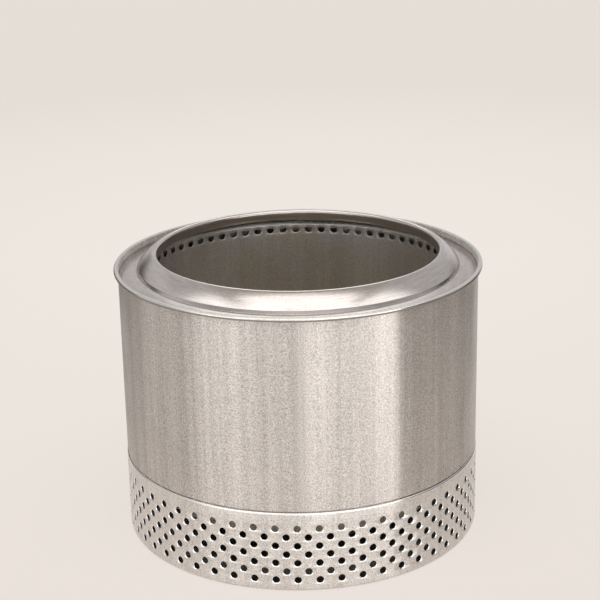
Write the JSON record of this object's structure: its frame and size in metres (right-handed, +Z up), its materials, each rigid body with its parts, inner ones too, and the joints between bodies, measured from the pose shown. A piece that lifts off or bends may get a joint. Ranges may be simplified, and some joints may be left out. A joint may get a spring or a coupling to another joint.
{
  "type": "smokeless fire pit",
  "caption": "Round double-walled stainless fire pit with a perforated vent base, a domed lift-off flame ring, and a lift-out grate and ash pan with wire handles.",
  "frame": {"origin": "centre of the circle that the pit stands on", "axes": "+Z up along the axis of the walls, -Y towards the front of the picture, +X to its right"},
  "size_m": [0.3784, 0.3784, 0.2956],
  "materials": {
    "wall_steel": "satin, brushed round the wall, with faint soft bands",
    "ring_steel": "satin, spun round the opening",
    "chamber_steel": "satin, dulled and tinted by heat near the top",
    "inner_steel": "plain mill finish",
    "pan_steel": "plain mill finish, dusty",
    "grate_steel": "plain, dulled by heat",
    "wire_steel": "drawn wire, half bright",
    "fastener_steel": "plain bright"
  },
  "bodies": {
    "pit": {"outer_wall": "wall_steel", "vent_base": "wall_steel", "base_plate": "inner_steel", "chamber_wall": "chamber_steel", "top_deck": "inner_steel", "chamber_floor": "chamber_steel", "pan_ledge": "chamber_steel", "heat_shield": "inner_steel", "shield_post_1": "inner_steel", "shield_post_2": "inner_steel", "shield_post_3": "inner_steel", "shield_post_4": "inner_steel", "shield_screws": "fastener_steel", "shield_washers": "fastener_steel", "shield_nuts": "fastener_steel", "spacer_bracket_1": "inner_steel", "spacer_bracket_2": "inner_steel", "spacer_bracket_3": "inner_steel", "spacer_bracket_4": "inner_steel", "spacer_bracket_5": "inner_steel", "spacer_bracket_6": "inner_steel"},
    "ring": {"flame_ring": "ring_steel"},
    "pan": {"ash_pan": "pan_steel", "pan_saddle": "pan_steel", "pan_saddle_rivets": "fastener_steel"},
    "pan_bail": {"pan_handle": "wire_steel"},
    "grate": {"fuel_grate": "grate_steel", "grate_saddle": "grate_steel", "grate_saddle_rivets": "fastener_steel"},
    "grate_bail": {"grate_handle": "wire_steel"}
  },
  "joints": [
    {"name": "ring_lift", "type": "slide", "parent": "pit", "child": "ring", "axis": [0, 0, 1], "range_m": [0, 0.15]},
    {"name": "pan_lift", "type": "slide", "parent": "pit", "child": "pan", "axis": [0, 0, 1], "range_m": [0, 0.28]},
    {"name": "grate_lift", "type": "slide", "parent": "pan", "child": "grate", "axis": [0, 0, 1], "range_m": [0, 0.24]},
    {"name": "grate_handle_swing", "type": "hinge", "parent": "grate", "child": "grate_bail", "pos_m": [0, 0, 0.101], "axis": [0, -1, 0], "range_deg": [0, 180]},
    {"name": "pan_handle_swing", "type": "hinge", "parent": "pan", "child": "pan_bail", "pos_m": [0, 0, 0.0588], "axis": [0, -1, 0], "range_deg": [0, 180]}
  ]
}
